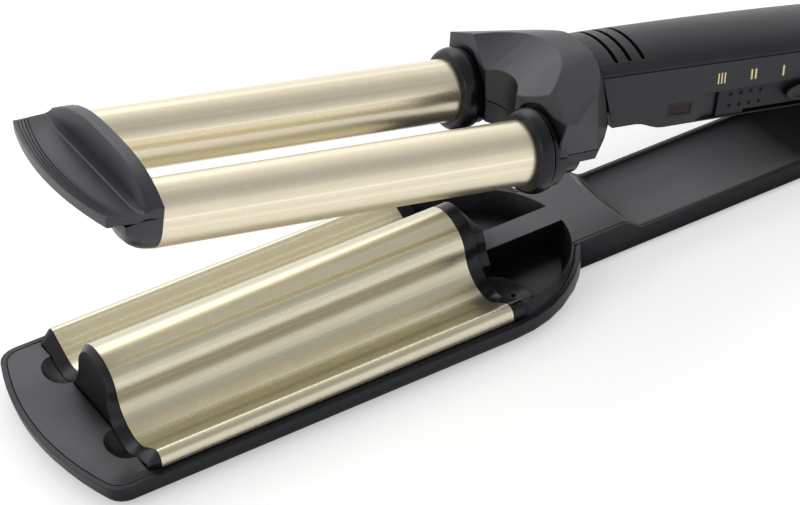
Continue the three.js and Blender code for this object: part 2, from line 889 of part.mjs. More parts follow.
// Corners of the shoulder block on one side, with the smooth edges of its crown
function shoulderCorners(side) {
  const ridge = spread(0, 1, 12).map((share) => {
    const x = ridgeBack - (ridgeBack - ridgeFront) * share ** ridgePower;
    return [x, share * barrelY, facetZ(x, share * barrelY)];
  });
  const path = new THREE.CatmullRomCurve3(crownEdge.map((p) => new THREE.Vector3(...p)));
  const edge = path.getPoints(14).map((p) => p.toArray());
  const all = [...shoulderFront, ...shoulderRear, ...ridge, ...edge];
  return all.map(([x, y, z]) => new THREE.Vector3(x, side * y, z));
}

// Space behind the shoulder, where the handle begins
function handleSpace(gap) {
  const x = backX + gap;
  const low = -tall / 2;
  const far = tall * 4;
  const lowX = x + (backZ - low) * backLean;
  return prism([[lowX, low], [far, low], [far, tall], [x, tall], [x, backZ]], "y", -tall, tall);
}

// Space of the concave facet on top of the shoulder
function facetSpace() {
  const reach = barrelY + 3;
  const [front, back] = [-5, 40];
  const rings = spread(-reach, reach, 12).map((y) => {
    const pairs = [[front, facetZ(front, y)], [front, tall], [back, tall], [back, facetZ(back, y)]];
    return pairs.map(([x, z]) => new THREE.Vector3(x, y, z));
  });
  return loft(rings, seenFromSide);
}

// Whole shoulder block before it is parted at its seam
function shoulderBlock() {
  const corners = [...shoulderCorners(1), ...shoulderCorners(-1)];
  let body = solid(new ConvexGeometry(corners));
  body = body.subtract(handleSpace(0)).subtract(facetSpace());
  const front = collarBack + seatGap;
  for (const side of [-1, 1]) {
    const centre = [0, side * barrelY, 0];
    body = body.add(bar("x", collarBossRadius, front, collarBossEnd, centre, 40));
  }
  const notch = arc(0, 0, notchReach, 0, 2 * Math.PI, 44, notchHalf).slice(1);
  body = body.subtract(prism(notch, "z", -tall, tall));
  for (const side of [-1, 1]) {
    const centre = [0, side * barrelY, 0];
    body = body.subtract(bar("x", neckRadius + pressGap, 0, collarBack + neckLength, centre, 36));
    body = body.subtract(bar("x", collarRadius + 1, -tall, front, centre));
  }
  const channelEnd = collarBack + neckLength + 5;
  const across = barrelY + neckBore;
  const floor = shoulderFloor + handleWall;
  body = body.subtract(box(cavityStart, channelEnd, -across, across, floor, cavityTop / 2));
  return body.subtract(box(cavityStart, tall, -cavityHalf, cavityHalf, floor, cavityTop));
}

function shoulderTop(block) {
  const seam = shoulderSeam + seatGap / 2;
  let body = block.intersect(box(-tall, tall, -tall, tall, seam, tall));
  for (const side of [-1, 1]) {
    const y = side * shoulderScrewY;
    body = body.subtract(threadHole(shoulderScrewX, y, shoulderScrewTop + seatGap));
  }
  return body;
}

// Height of the tongue's underside, above the tower of the first handle screw
function tongueLow() {
  return handleBottom(handleScrews[0][0]) + handleWall + towerRise + seatGap;
}

// Lower half, with the tongue that the handle is screwed to
function shoulderBottom(block) {
  const [x, y] = handleScrews[0];
  const seam = shoulderSeam - seatGap / 2;
  const low = tongueLow();
  const top = low + tongueThick;
  const from = collarBack + neckLength + 5;
  const foot = box(from, backX, -tongueHalf, tongueHalf, shoulderFloor + 1, top);
  const tongue = box(backX - 1, tongueEnd, -tongueHalf, tongueHalf, low, top);
  let body = block.intersect(box(-tall, tall, -tall, tall, -tall, seam));
  body = body.add(foot).add(tongue).subtract(threadHole(x, y, tall));
  for (const side of [-1, 1])
    body = body.subtract(screwHole(shoulderScrewX, side * shoulderScrewY, shoulderFloor, tall));
  return body;
}

// Lowest line of the handle
function handleBottom(x) {
  return frontBottom + (bellyBottom - frontBottom) * ease(x, bellyStart, bellyEnd);
}

// Half width of the handle
function handleWidth(x) {
  return handleHalf + (tailHalf - handleHalf) * ease(x, taperFrom, taperTo);
}

// Highest line of the handle: round first, then straight to the end
function crownTop(x) {
  const run = Math.min(x, crownEnd) - crownPeak;
  const beyond = Math.max(x - crownEnd, 0);
  return crownHeight - (crownDrop * run * (run + 2 * beyond)) / (crownEnd - crownPeak) ** 2;
}

// Height of the seam between the handle's halves
function seamLine(x) {
  return seamHeight - seamSlope * x - tailSlope * Math.max(x - crownEnd, 0);
}

// Cross-section of the handle's lower half, set in by a wall
function trunkRing(x, inset, top) {
  const half = handleWidth(x) - inset;
  const edge = Math.max(handleEdge - inset, touchGap);
  const low = handleBottom(x) + inset;
  const right = arc(half - edge, low + edge, edge, -Math.PI / 2, 0, 3).concat([[half, top]]);
  return acrossX(x, right.concat(mirror(right)));
}

// Outline of the handle's crown, set in by a wall
function crownArc(x, inset) {
  const base = seamLine(x) + seatGap / 2;
  const half = handleWidth(x) - inset;
  const rise = crownTop(x) - inset - base;
  return spread(0, Math.PI, 14).map((t) => [
    half * Math.cos(t),
    base + rise * Math.abs(Math.sin(t)) ** crownPower,
  ]);
}

// Cross-section of the crown's inside, open below
function crownRing(x, inset) {
  const half = handleWidth(x) - inset;
  return acrossX(x, [[-half, 0], [half, 0], ...crownArc(x, inset)]);
}

// Stations along the handle, closer where it changes
const handleStations = [
  backX,
  ...spread(bellyStart, bellyEnd, 5),
  ...spread(recessStart, crownEnd, 4),
  ...spread(taperFrom, taperTo, 6),
  (taperTo + handleEnd) / 2,
  handleEnd,
];

// The same stations, run past both ends
const throughStations = [backX - tall / 8, ...handleStations.slice(1, -1), handleEnd + 1];

// Highest point of a screw of the handle
function handleScrewTop(x) {
  return x > tongueEnd ? handlePostTop + handleScrewReach : tongueLow() + tongueThick - seatGap;
}

// Lugs round the hinge pin
function knuckles() {
  const centre = [handleReach, 0, -axisOverHinge];
  const from = handleReach - knuckleRadius;
  const to = handleReach + knuckleRadius;
  const top = handleBottom(handleReach) + handleWall;
  const block = box(from, to, -knuckleOuter, knuckleOuter, -axisOverHinge, top);
  return bar("y", knuckleRadius, -knuckleOuter, knuckleOuter, centre, 28).add(block);
}

// Groove in the side panel for the switch, deepening over a ramp
function switchRecess() {
  const outline = [
    [recessStart, panelY - 1],
    [recessStart, panelY],
    [recessStart + recessRamp, panelY + recessDepth],
    [trackBack, panelY + recessDepth],
    [trackBack, panelY - 1],
  ];
  return prism(outline, "z", trackBottom, trackTop);
}

// Slot for the knob's foot
function footSlot() {
  const from = knobBack - footLength - 2 * levelPitch - seatGap;
  const to = knobBack + levelPitch + seatGap;
  const half = footThick / 2 + seatGap / 2;
  const inner = panelY + footReach + 1;
  const slot = box(from, to, panelY - 1, inner, footZ - half, footZ + half);
  return slot.add(box(from, to, panelY + handleWall, inner, footZ - half, handleFloor + 1));
}

// Window in the side panel for the lens
function lensSpace(gap, from, to) {
  const end = lensStart + lensLength;
  const top = lensBottom + lensHeight;
  return box(lensStart - gap, end + gap, from, to, lensBottom - gap, top + gap);
}

function handleLowerShell() {
  const outer = handleStations.map((x) => trunkRing(x, 0, seamLine(x) - seatGap / 2));
  const hollow = throughStations.map((x) => trunkRing(x, handleWall, tall));
  let body = loft(outer, seenFromRear).subtract(loft(hollow, seenFromRear));
  const hub = [handleReach, 0, -axisOverHinge];
  body = body.intersect(handleSpace(seatGap)).add(knuckles());
  body = body.subtract(bar("y", knuckleRadius + 1, -knuckleInner, knuckleInner, hub, 28));
  body = body.subtract(bar("y", pinRadius + runningGap, -tall, tall, hub));
  body = body.subtract(switchRecess()).subtract(footSlot());
  body = body.subtract(lensSpace(touchGap, panelY - 1, panelY + handleWall + 1));
  for (const [x, y] of handleScrews) {
    const face = handleBottom(x);
    const top = x > tongueEnd ? handlePostTop : tongueLow() - seatGap;
    body = body.add(bar("z", bossRadius, face + 0.5, top, [x, y, 0]));
    body = body.subtract(screwHole(x, y, face, tall));
  }
  return body;
}

// Slot across the crown with rounded ends
function vent(i) {
  const x = ventFirst + i * ventPitch;
  const end = ventHalf - ventWidth / 2;
  const far = arc(x, end, ventWidth / 2, 0, Math.PI, 6);
  const near = arc(x, -end, ventWidth / 2, Math.PI, 2 * Math.PI, 6);
  return prism(far.concat(near), "z", seamHeight, tall);
}

function handleTopCover() {
  const outer = handleStations.map((x) => acrossX(x, crownArc(x, 0)));
  const hollow = throughStations.map((x) => crownRing(x, handleWall));
  const inside = loft(handleStations.map((x) => crownRing(x, handleWall / 2)), seenFromRear);
  let body = loft(outer, seenFromRear).subtract(loft(hollow, seenFromRear));
  body = body.intersect(handleSpace(seatGap));
  for (let i = 0; i < ventCount; i++) body = body.subtract(vent(i));
  for (const [x, y] of handleScrews.slice(1)) {
    const post = bar("z", bossRadius, handlePostTop + seatGap, tall, [x, y, 0]);
    body = body.add(post.intersect(inside));
    body = body.subtract(threadHole(x, y, handleScrewTop(x) + seatGap));
  }
  return body;
}

function powerLens() {
  return lensSpace(0, panelY + touchGap, panelY + lensThick);
}

function controlBoard() {
  const low = handleFloor + seatGap;
  const end = boardStart + boardLength;
  return box(boardStart, end, -boardOffset, boardThick - boardOffset, low, low + boardHeight);
}

// Lamp on the board behind the lens
function indicatorLamp() {
  const centre = [lensStart + lensLength / 2, 0, lensBottom + lensHeight / 2];
  return bar("y", lampRadius, panelY + handleWall + seatGap, -boardOffset - touchGap, centre, 20);
}

// Slide switch on the board, beside the knob's foot
function slideSwitch() {
  const middle = knobBack - footLength / 2 - levelPitch / 2;
  const low = handleFloor + seatGap;
  const near = panelY + footReach + seatGap;
  const from = middle - switchLength / 2;
  return box(from, from + switchLength, near, -boardOffset - touchGap, low, low + switchHeight);
}

// Plate with two rows of dimples that the knob slides on
function switchTrack() {
  const inner = trackY + trackThick - touchGap;
  const low = trackBottom + touchGap;
  let body = box(trackFront, trackBack - seatGap, trackY, inner, low, trackTop - touchGap);
  body = body.subtract(footSlot());
  for (let column = 0; column < dimpleColumns; column++)
    for (let row = 0; row < dimpleRows; row++) {
      const geometry = new THREE.SphereGeometry(dimpleRadius, 8, 6);
      const x = dimpleStart + column * dimplePitch;
      geometry.translate(x, trackY - dimpleRadius * dimpleSink, dimpleLow + row * dimpleRise);
      body = body.subtract(solid(geometry));
    }
  return body;
}

// Oval knob with a dished face and a foot through the slot
function switchSlider() {
  const half = knobHeight / 2;
  const middle = (knobTip + knobBack) / 2;
  const outer = trackY - knobProud;
  const inner = trackY - 2 * runningGap;
  const oval = arc(middle, knobCentreZ, knobLength / 2, 0, 2 * Math.PI, 32, half).slice(1);
  const dish = new THREE.SphereGeometry(1, 20, 12);
  dish.scale(knobLength / 2 - knobBorder, knobDish, half - knobBorder);
  dish.translate(middle, outer, knobCentreZ);
  const from = knobBack - footLength;
  const to = knobBack - seatGap;
  const low = footZ - footThick / 2;
  const lower = box(from, to, inner - 1, inner, low, knobCentreZ);
  const foot = box(from, to, inner - 1, panelY + footReach, low, low + footThick);
  return prism(oval, "y", outer, inner).subtract(solid(dish)).add(lower).add(foot);
}

// Height of the cap's ridge across its width
function ridgeZ(y) {
  return capArch - (capArch - capEndZ) * (Math.abs(y) / capHalf) ** capArchPower;
}

// Grooves along the lip, between its edge and the dish
function lipGrooves(tip, dish) {
  const face = (s) => lipTopZ + ((dish - lipTopZ) * s) / lipBand;
  return Array.from({ length: lipGrooveCount }, (_, i) => {
    const s = lipGrooveFirst + i * lipGroovePitch;
    return [
      [tip + s - lipGroove, face(s - lipGroove)],
      [tip + s, face(s) - lipGroove],
      [tip + s + lipGroove, face(s + lipGroove)],
    ];
  }).flat();
}

// Side profile of the cap's crown at one distance from the middle
function capRing(y) {
  const share = Math.abs(y) / capHalf;
  const tip = lipSweep * share * share - lipTipX;
  const top = ridgeZ(y);
  const shoulder = top - ridgeRound;
  const ridge = -barrelTip - ridgeWidth;
  const dish = dishZ + (lipTopZ - dishZ) * share ** 8;
  const wall = [0.25, 0.6].map((t) => [
    -foldX + (foldX + ridge) * t,
    dish + (shoulder - dish) * t * t,
  ]);
  const profile = [
    [-barrelTip, slabUnderside],
    [tip + lipWidth, slabUnderside],
    [tip + lipWidth - lipLean, lipTopZ - lipThick],
    [tip + lipLean, lipTopZ - lipThick],
    [tip, lipTopZ],
    ...lipGrooves(tip, dish),
    [tip + lipBand, dish],
    [-foldX, dish],
    ...wall,
    [ridge, shoulder],
    [ridge + ridgeRound, top],
    [-barrelTip, top],
  ];
  const narrowing = (x) => Math.min(Math.max((x - ridge) / (tip - ridge), 0), 1);
  return profile.map(([x, z]) => new THREE.Vector3(x, y * (1 - lipTaper * narrowing(x)), z));
}

// Nose below the cap in front of a barrel
function nose(side) {
  const y = side * (capHalf - noseHalf);
  const top = (slabUnderside + dishZ) / 2;
  const rings = spread(0.98, 0, 6).map((t) => {
    const half = noseHalf * (1 - noseTaper * t ** 4);
    const low = arc(y, 0, half, Math.PI, 2 * Math.PI, 14, noseDepth * Math.sqrt(1 - t * t));
    const high = top - noseGap * t ** 4;
    return acrossX(-barrelTip - noseReach * t, [...low, [y + half, high], [y - half, high]]);
  });
  return loft(rings, seenFromRear);
}

function tipCap() {
  let body = loft(spread(-capHalf, capHalf, 14).map(capRing), seenFromSide);
  const end = -barrelTip + spigotLength;
  for (const side of [-1, 1]) {
    const centre = [0, side * barrelY, 0];
    const spigot = bar("x", barrelBore - pressGap, -barrelTip - 2, end, centre, 48);
    const hollow = bar("x", barrelBore - 2 * barrelWall, -barrelTip - 2, end + 1, centre, 32);
    body = body.add(nose(side)).add(spigot).subtract(hollow);
  }
  return body;
}

// Lead from a barrel heater through the collar's neck into the handle
function barrelLead(side) {
  const y = side * barrelY;
  const neckEnd = collarBack + neckLength;
  const lane = side * (tongueHalf + 2);
  const low = handleBottom(tongueEnd) + handleWall + leadRadius;
  const points = [
    [-heaterRoot + seatGap, y, 0],
    [collarBack, y, 0],
    [neckEnd - leadBend, y - side, 0],
    [neckEnd, y - leadBend * side, leadRise / 2],
    [neckEnd + leadBend + leadRadius, lane + leadRadius * side, leadRise],
    [backX - 2, lane, 2 * leadRise],
    [backX + 9, lane, low + 2 * leadRise],
    [tongueEnd, lane, low + leadRise],
    [bellyEnd, lane, low],
  ];
  return tube(points, leadRadius, 24);
}

// Outline of the handle's end, set in by a wall
function endOutline(inset) {
  const half = handleWidth(handleEnd) - inset;
  const low = handleBottom(handleEnd) + inset;
  return [[-half, low], [half, low], ...crownArc(handleEnd, inset)];
}

function endCap() {
  const from = handleEnd + seatGap;
  const plug = prism(endOutline(handleWall + seatGap), "x", handleEnd - endSpigot, from + 1);
  const body = prism(endOutline(0), "x", from, from + endCapThick).add(plug);
  return body.subtract(bar("x", glandRadius + runningGap, 0, tall * 4, [0, 0, glandZ], 36));
}

// Turning gland of the cord, with a flange inside the handle
function swivelGland() {
  const end = handleEnd + seatGap + endCapThick;
  const back = handleEnd - endSpigot - seatGap;
  const profile = [
    [back - flangeThick, glandBore],
    [back - flangeThick, flangeRadius],
    [back, flangeRadius],
    [back, glandRadius],
    [end + 2, glandRadius],
    [end + glandLength, glandTipRadius],
    [end + glandLength, glandBore],
  ];
  return turned(profile, 0, glandZ);
}

// Plate that keeps the gland's flange against the end cap
function swivelRetainer() {
  const to = handleEnd - endSpigot - 2 * seatGap - flangeThick;
  const body = prism(endOutline(handleWall + seatGap), "x", to - retainerThick, to);
  return body.subtract(bar("x", glandBore + 1, 0, tall * 4, [0, 0, glandZ], 24));
}

const block = shoulderBlock();
add("lower_shell", lowerShell(), blackPlastic, root);
add("arm_cover", armCover(), blackPlastic, root);
add("wave_plate", wavePlate(), gold, root);
add("front_plate_holder", frontHolder(), softBlack, root);
add("rear_plate_holder", rearHolder(), softBlack, root);
add("plate_heater", plateHeater(), ceramic, root);
add("heater_clamp", heaterClamp(), steel, root);
add("thermal_fuse", thermalFuse(), steel, root);
add("plate_lead", plateLead(), wire, root);
add("hinge_pin", hingePin(), steel, root);
add("torsion_spring", torsionSpring(), steel, root);
armScrews.forEach(([x, y, , top], i) =>
  add("arm_screw_" + (i + 1), screw(x, y, screwSink, top), steel, root),
);
for (const [side, place] of [[-1, "near"], [1, "far"]]) {
  add("barrel_" + place, barrel(side), gold, barrelFrame);
  add("barrel_heater_" + place, barrelHeater(side), ceramic, barrelFrame);
  add("collar_" + place, collar(side), softBlack, barrelFrame);
  add("barrel_lead_" + place, barrelLead(side), wire, barrelFrame);
  const low = shoulderFloor + screwSink;
  const body = screw(shoulderScrewX, side * shoulderScrewY, low, shoulderScrewTop);
  add("shoulder_screw_" + place, body, steel, barrelFrame);
}
add("tip_cap", tipCap(), blackPlastic, barrelFrame);
add("shoulder_top", shoulderTop(block), blackPlastic, barrelFrame);
add("shoulder_bottom", shoulderBottom(block), blackPlastic, barrelFrame);
add("handle_top_cover", handleTopCover(), blackPlastic, barrelFrame);
add("handle_lower_shell", handleLowerShell(), blackPlastic, barrelFrame);
add("power_lens", powerLens(), redLens, barrelFrame);
add("indicator_lamp", indicatorLamp(), ceramic, barrelFrame);
add("control_board", controlBoard(), boardGreen, barrelFrame);
add("slide_switch_body", slideSwitch(), softBlack, barrelFrame);
add("switch_track", switchTrack(), blackPlastic, barrelFrame);
add("switch_slider", switchSlider(), softBlack, barrelFrame);
handleScrews.forEach(([x, y], i) => {
  const body = screw(x, y, handleBottom(x) + screwSink, handleScrewTop(x));
  add("handle_screw_" + (i + 1), body, steel, barrelFrame);
});
add("end_cap", endCap(), blackPlastic, barrelFrame);
add("swivel_retainer", swivelRetainer(), softBlack, barrelFrame);
add("swivel_gland", swivelGland(), softBlack, barrelFrame);

export default root;
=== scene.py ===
import math

import bmesh
import bpy
from mathutils import Matrix, Vector


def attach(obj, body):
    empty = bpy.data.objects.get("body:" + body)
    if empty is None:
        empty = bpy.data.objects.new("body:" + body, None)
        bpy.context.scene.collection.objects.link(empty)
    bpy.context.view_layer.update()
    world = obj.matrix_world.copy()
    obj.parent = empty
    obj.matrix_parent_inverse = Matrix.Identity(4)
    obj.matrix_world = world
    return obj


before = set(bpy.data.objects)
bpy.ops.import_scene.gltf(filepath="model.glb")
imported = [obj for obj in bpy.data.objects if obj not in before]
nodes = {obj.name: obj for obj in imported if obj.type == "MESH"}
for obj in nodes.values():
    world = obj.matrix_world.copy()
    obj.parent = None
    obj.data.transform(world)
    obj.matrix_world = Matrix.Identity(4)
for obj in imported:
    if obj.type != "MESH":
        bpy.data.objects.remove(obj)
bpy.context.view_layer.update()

# Hinge in the row frame, and the same point seen from the upper arm's own origin, in millimetres.
# The upper arm's own axes: x from the collars to the cord end, y across, z up
HINGE_X, HINGE_Z = 281.1, 14.0
REACH, RISE = 157.7, 4.0
OPEN = math.radians(12.9)


def upper(x, y, z):
    """Point of the upper arm's own frame, in metres of the row frame."""
    dx, dz = x - REACH, z + RISE
    return Vector((
        HINGE_X + dx * math.cos(OPEN) + dz * math.sin(OPEN),
        y,
        HINGE_Z - dx * math.sin(OPEN) + dz * math.cos(OPEN),
    )) / 1000


# ---------------------------------------------------------------- node helpers

# The part of a noise's values that its surface detail uses
NOISE = (0.3, 0.7)


class Nodes:
    """Adds nodes to a material or a world, and links them."""

    def __init__(self, owner):
        owner.use_nodes = True
        self.owner = owner
        self.tree = owner.node_tree
        self.tree.nodes.clear()

    def add(self, kind, **values):
        node = self.tree.nodes.new(kind)
        for key, value in values.items():
            setattr(node, key, value)
        return node

    def link(self, source, target):
        self.tree.links.new(source, target)

    def math(self, operation, a, b, clamp=False):
        node = self.add("ShaderNodeMath", operation=operation, use_clamp=clamp)
        for socket, value in zip(node.inputs, (a, b)):
            if isinstance(value, (int, float)):
                socket.default_value = value
            else:
                self.link(value, socket)
        return node.outputs[0]

    def place(self, scale=(1, 1, 1), turn=0.0):
        """Object coordinates, turned about Y and stretched."""
        coordinates = self.add("ShaderNodeTexCoord")
        turned = self.add("ShaderNodeMapping")
        turned.inputs["Rotation"].default_value = (0, -turn, 0)
        stretched = self.add("ShaderNodeMapping")
        stretched.inputs["Scale"].default_value = scale
        self.link(coordinates.outputs["Object"], turned.inputs["Vector"])
        self.link(turned.outputs[0], stretched.inputs["Vector"])
        return stretched.outputs[0]

    def noise(self, vector, scale, detail=2.0, rough=0.5):
        node = self.add("ShaderNodeTexNoise")
        node.inputs["Scale"].default_value = scale
        node.inputs["Detail"].default_value = detail
        node.inputs["Roughness"].default_value = rough
        self.link(vector, node.inputs["Vector"])
        return node.outputs["Fac"]

    def spread(self, value, low, high, out_low, out_high):
        node = self.add("ShaderNodeMapRange")
        for socket, number in zip(node.inputs[1:5], (low, high, out_low, out_high)):
            socket.default_value = number
        self.link(value, node.inputs[0])
        return node.outputs[0]

    def mix(self, factor, a, b):
        node = self.add("ShaderNodeMix", data_type="RGBA")
        self.link(factor, node.inputs[0])
        for socket, value in ((node.inputs[6], a), (node.inputs[7], b)):
            if isinstance(value, tuple):
                socket.default_value = (*value, 1)
            else:
                self.link(value, socket)
        return node.outputs[2]

    def bump(self, height, distance, strength, normal=None):
        node = self.add("ShaderNodeBump")
        node.inputs["Strength"].default_value = strength
        node.inputs["Distance"].default_value = distance
        self.link(height, node.inputs["Height"])
        if normal is not None:
            self.link(normal, node.inputs["Normal"])
        return node.outputs["Normal"]

    def soft_edges(self, radius):
        node = self.add("ShaderNodeBevel", samples=4)
        node.inputs["Radius"].default_value = radius
        return node.outputs["Normal"]

    def shade_in_hollows(self, reach):
        """Painted shade: 1 on open faces, towards 0 in grooves and corners, where it dims the gloss.
        """
        node = self.add("ShaderNodeAmbientOcclusion", samples=6)
        node.inputs["Distance"].default_value = reach
        return node.outputs["AO"]

    def edge_wear(self, rounded, amount):
        """0 on flat faces, up to amount along edges."""
        geometry = self.add("ShaderNodeNewGeometry")
        dot = self.add("ShaderNodeVectorMath", operation="DOT_PRODUCT")
        self.link(rounded, dot.inputs[0])
        self.link(geometry.outputs["Normal"], dot.inputs[1])
        return self.spread(dot.outputs["Value"], 1.0, 0.75, 0.0, amount)

    def straight_rays(self):
        """1 for rays from the camera and for those that metal and glass send on."""
        rays = self.add("ShaderNodeLightPath").outputs
        seen = self.math("ADD", rays["Is Camera Ray"], rays["Is Glossy Ray"], True)
        return self.math("ADD", seen, rays["Is Transmission Ray"], True)

    def finish(self, shader, output="ShaderNodeOutputMaterial"):
        self.link(shader.outputs[0], self.add(output).inputs["Surface"])
        return self.owner


def new_material(name):
    return Nodes(bpy.data.materials.new(name))


# ---------------------------------------------------------------- materials

# Fine erosion grain of moulded plastic, in turns per metre
GRAIN_SIZE = 5200
# Painted shade in hollows, which dims the gloss: shortest reach, its darkest value, rise of that
# value with the reach, and the value of an open face
SHORT_REACH, DARKEST, DARKEST_RISE, OPEN_FACE = 0.005, 0.25, 22, 0.93
# Share of the gloss that painted shade leaves in the deepest hollow, and towards the hinge
SHADED_HOLLOW_GLOSS, SHADED_HINGE_GLOSS = 0.05, 0.04
# Reach of the painted shade in narrow grooves
GROOVE_SHADE_REACH = 0.0008


def plastic(name, color, light, rough, grain=0.000012, edge=0.00035, turn=0.0, shine=0.5,
            shade_towards_hinge=None, reach=SHORT_REACH, grooves=False):
    """Moulded plastic: fine eroded grain, uneven gloss dimmed in hollows as painted shade, edges
    rounded and rubbed a little lighter.
    """
    n = new_material(name)
    vector = n.place(turn=turn)
    fine = n.noise(vector, GRAIN_SIZE, 3.0, 0.6)
    broad = n.noise(vector, 70, 3.0)
    flow = n.noise(n.place((6, 60, 60), turn), 1.6, 4.0)
    rounded = n.soft_edges(edge)
    shader = n.add("ShaderNodeBsdfPrincipled")
    # Painted shade: the gloss is dimmed in hollows, and with grooves also in narrow grooves
    darkest = DARKEST + DARKEST_RISE * (reach - SHORT_REACH)
    gloss = n.spread(n.shade_in_hollows(reach), darkest, OPEN_FACE, SHADED_HOLLOW_GLOSS * shine, shine)
    if grooves:
        groove_shade = n.spread(n.shade_in_hollows(GROOVE_SHADE_REACH), 0.55, 0.92, 0.0, 1.0)
        gloss = n.math("MULTIPLY", gloss, groove_shade)
    if shade_towards_hinge:
        # Painted shade: gloss full near the neck and dimmed towards the hinge
        along = n.add("ShaderNodeSeparateXYZ")
        n.link(n.place(), along.inputs[0])
        hinge_shade = n.spread(along.outputs["X"], *shade_towards_hinge, 1.0, SHADED_HINGE_GLOSS)
        gloss = n.math("MULTIPLY", hinge_shade, gloss)
    shader.inputs["Specular Tint"].default_value = (0.90, 0.915, 1.0, 1.0)
    shader.inputs["Specular IOR Level"].default_value = shine
    n.link(gloss, shader.inputs["Specular IOR Level"])
    tone = n.mix(n.spread(broad, *NOISE, 0.0, 0.55), color, light)
    rubbed = tuple(min(1, 2.2 * c + 0.01) for c in light)
    n.link(n.mix(n.edge_wear(rounded, 0.35), tone, rubbed), shader.inputs["Base Color"])
    uneven = n.math("ADD", n.spread(flow, *NOISE, -0.035, 0.035),
                    n.spread(fine, *NOISE, rough - 0.03, rough + 0.03))
    n.link(uneven, shader.inputs["Roughness"])
    n.link(n.bump(fine, grain, 0.6, rounded), shader.inputs["Normal"])
    return n.finish(shader)


def satin_metal(name, color, deep, rough, turn=0.0):
    """Champagne coating on metal: sandy sparkle, lengthwise streaks, uneven gloss."""
    n = new_material(name)
    vector = n.place(turn=turn)
    sand = n.noise(vector, 2600, 2.0, 0.7)
    cloud = n.noise(vector, 90, 3.0)
    drawn = n.noise(n.place((1.0, 620, 620), turn), 1.0, 2.0)
    shader = n.add("ShaderNodeBsdfPrincipled")
    shader.inputs["Metallic"].default_value = 0.92
    streak = tuple(min(1, 1.12 * c) for c in color)
    tone = n.mix(n.spread(sand, 0.35, 0.68, 0.0, 0.62), color, deep)
    tone = n.mix(n.spread(cloud, 0.35, 0.65, 0.0, 0.25), tone, deep)
    tone = n.mix(n.spread(drawn, 0.54, 0.66, 0.0, 0.9), tone, streak)
    tone = n.mix(n.spread(drawn, 0.46, 0.34, 0.0, 0.5), tone, deep)
    n.link(tone, shader.inputs["Base Color"])
    uneven = n.math("ADD", n.spread(drawn, *NOISE, rough + 0.02, rough - 0.03),
                    n.spread(sand, *NOISE, -0.02, 0.03))
    n.link(uneven, shader.inputs["Roughness"])
    n.link(n.bump(sand, 0.000009, 0.7), shader.inputs["Normal"])
    return n.finish(shader)


def plain_metal(name, color, rough):
    """Machined steel: turning marks and faint stains."""
    n = new_material(name)
    marks = n.noise(n.place((400, 400, 3000)), 1.0, 2.0)
    stain = n.noise(n.place(), 260, 3.0)
    shader = n.add("ShaderNodeBsdfPrincipled")
    shader.inputs["Metallic"].default_value = 1.0
    stained = tuple(0.6 * c for c in color)
    n.link(n.mix(n.spread(stain, 0.4, 0.75, 0, 0.5), color, stained), shader.inputs["Base Color"])
    n.link(n.spread(marks, *NOISE, rough - 0.06, rough + 0.1), shader.inputs["Roughness"])
    n.link(n.bump(marks, 0.00001, 0.5), shader.inputs["Normal"])
    return n.finish(shader)


def matt(name, color, other, rough, scale):
    """Matt ceramic, board or wire sleeve with a mottled surface."""
    n = new_material(name)
    spots = n.noise(n.place(), scale, 4.0, 0.6)
    shader = n.add("ShaderNodeBsdfPrincipled")
    n.link(n.mix(n.spread(spots, *NOISE, 0, 1), color, other), shader.inputs["Base Color"])
    n.link(n.spread(spots, *NOISE, rough - 0.08, rough + 0.08), shader.inputs["Roughness"])
    n.link(n.bump(spots, 0.00002, 0.6), shader.inputs["Normal"])
    return n.finish(shader)


def lens_red(name, color, light):
    """Dark red lamp window with fine diffusing prisms below its face."""
    n = new_material(name)
    vector = n.place(turn=OPEN)
    wave = n.add("ShaderNodeTexWave", wave_type="BANDS", bands_direction="X")
    wave.inputs["Scale"].default_value = 420
    wave.inputs["Distortion"].default_value = 0.4
    n.link(vector, wave.inputs["Vector"])
    shader = n.add("ShaderNodeBsdfPrincipled")
    shader.inputs["Specular IOR Level"].default_value = 0.2
    shader.inputs["Coat Weight"].default_value = 0.04
    shader.inputs["Coat Roughness"].default_value = 0.12
    n.link(n.mix(wave.outputs["Fac"], color, light), shader.inputs["Base Color"])
    n.link(n.spread(n.noise(vector, 900), *NOISE, 0.22, 0.34), shader.inputs["Roughness"])
    n.link(n.bump(wave.outputs["Fac"], 0.00003, 0.4), shader.inputs["Normal"])
    return n.finish(shader)


BLACK = ((0.0046, 0.0048, 0.0062), (0.0076, 0.0079, 0.0102))
SOFT_BLACK = ((0.005, 0.005, 0.006), (0.008, 0.008, 0.0095))
TRACK_BLACK = ((0.007, 0.0072, 0.0088), (0.011, 0.0112, 0.013))
# The plate's gold is the barrels' coating, a little greener and darker; the darkening is painted
# shade
PLATE_GOLD_SHADED = ((0.70, 0.655, 0.50), (0.575, 0.54, 0.40))
BARREL_GOLD = ((0.87, 0.79, 0.605), (0.73, 0.655, 0.485))
MARK_GOLD = ((0.72, 0.60, 0.33), (0.60, 0.48, 0.25))

black_low = plastic("black_plastic_lower", *BLACK, 0.40, shine=0.38, reach=0.016)
